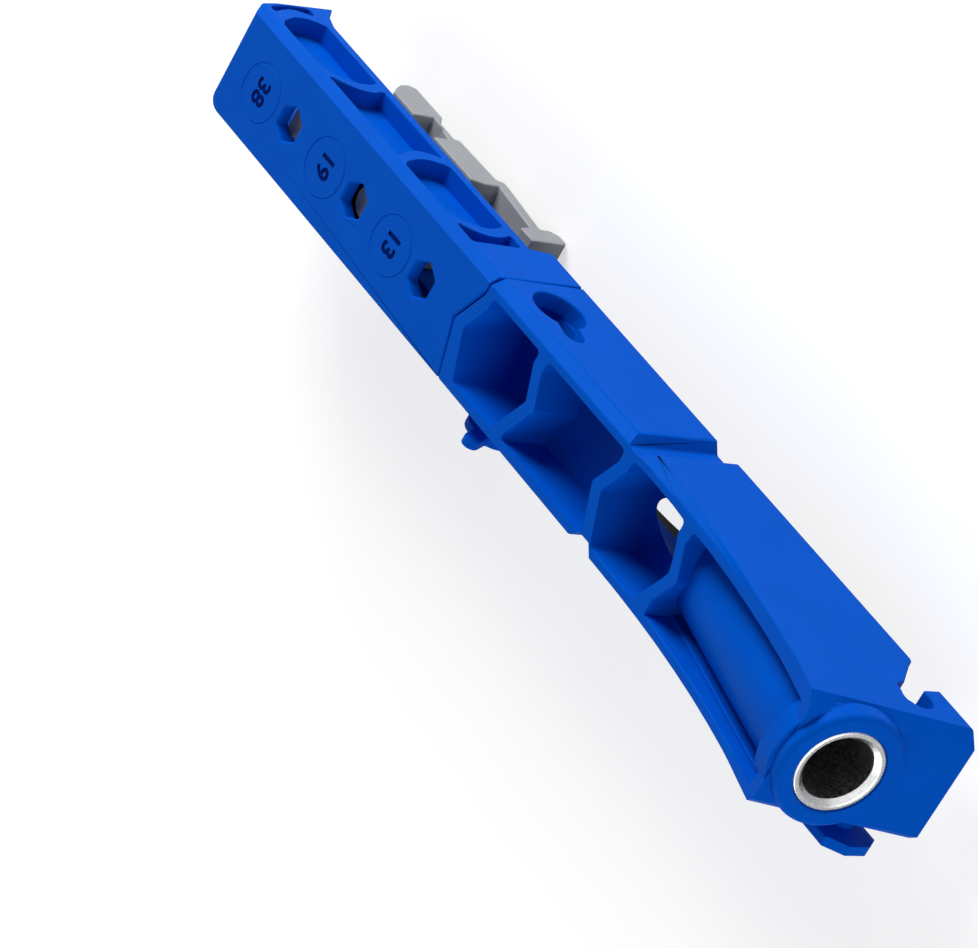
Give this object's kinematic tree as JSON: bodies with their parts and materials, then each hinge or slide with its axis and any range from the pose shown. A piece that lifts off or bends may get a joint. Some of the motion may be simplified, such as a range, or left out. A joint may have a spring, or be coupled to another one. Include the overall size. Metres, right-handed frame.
{
  "type": "pocket hole jig",
  "caption": "Moulded pocket hole jig with a steel guide tube at fifteen degrees, a gauge rail and a sliding stop that sets it to the board's thickness",
  "frame": {"origin": "On the flat work face, which lies on the board, in the land between the black insert and the rail, on the mid-plane of the body.", "axes": "+X runs from the drill entry to the far end of the rail, along the longest way. +Z points out of the top face, away from the board. +Y points to the side with the link tab and peg."},
  "size_m": [0.1691, 0.022, 0.034],
  "materials": {
    "blue_plastic": "moulded nylon, fine satin surface",
    "guide_steel": "ground and hardened steel tube",
    "black_plastic": "moulded black plastic insert",
    "grey_plastic": "moulded light grey plastic, slightly grained"
  },
  "bodies": {
    "jig": {"guide_body": "blue_plastic", "drill_guide_tube": "guide_steel", "base_insert": "black_plastic", "gauge_rail": "blue_plastic"},
    "stop": {"thickness_stop": "grey_plastic"}
  },
  "joints": [
    {"name": "stop_slide", "type": "slide", "parent": "jig", "child": "stop", "axis": [1, 0, 0], "range_m": [-0.0194, 0.0194]}
  ]
}
